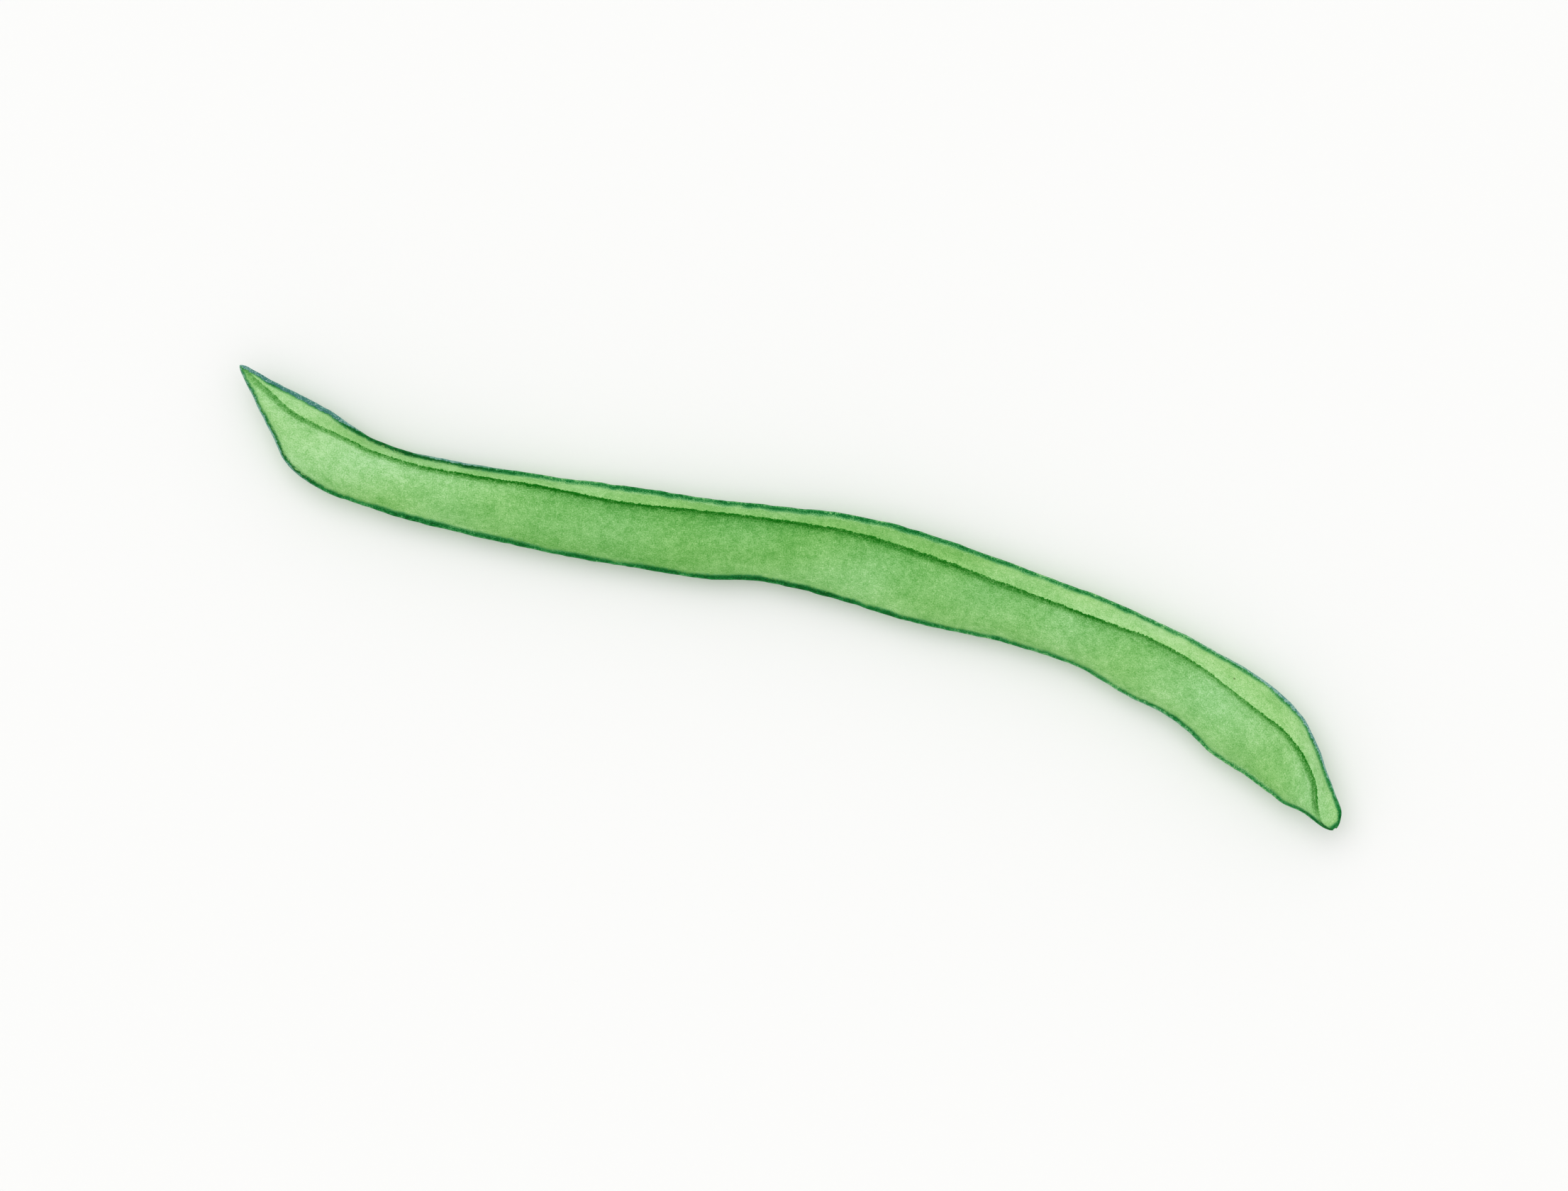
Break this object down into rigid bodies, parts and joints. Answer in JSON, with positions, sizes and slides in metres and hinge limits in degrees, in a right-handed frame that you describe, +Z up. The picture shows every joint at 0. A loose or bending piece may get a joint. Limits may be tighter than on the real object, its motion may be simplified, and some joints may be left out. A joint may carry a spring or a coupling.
{
  "type": "green bean",
  "caption": "Flat green bean pod, picked whole, gently S-curved, with a pointed beak, a creased rim along the ventral seam and a short blunt neck, lying on its broad side.",
  "frame": {"origin": "middle of the pod's box, on the surface that it lies on", "axes": "+X from the beak towards the neck, +Y from the back towards the rim with the ventral seam, +Z up off the surface"},
  "size_m": [0.1744, 0.0298, 0.0076],
  "materials": {
    "pod_skin": "smooth matt pod skin, mottled mid green on the broad sides, lighter on the rim, dark green along the crease and both seams"
  },
  "bodies": {
    "root": {"bean_pod": "pod_skin"}
  },
  "joints": []
}
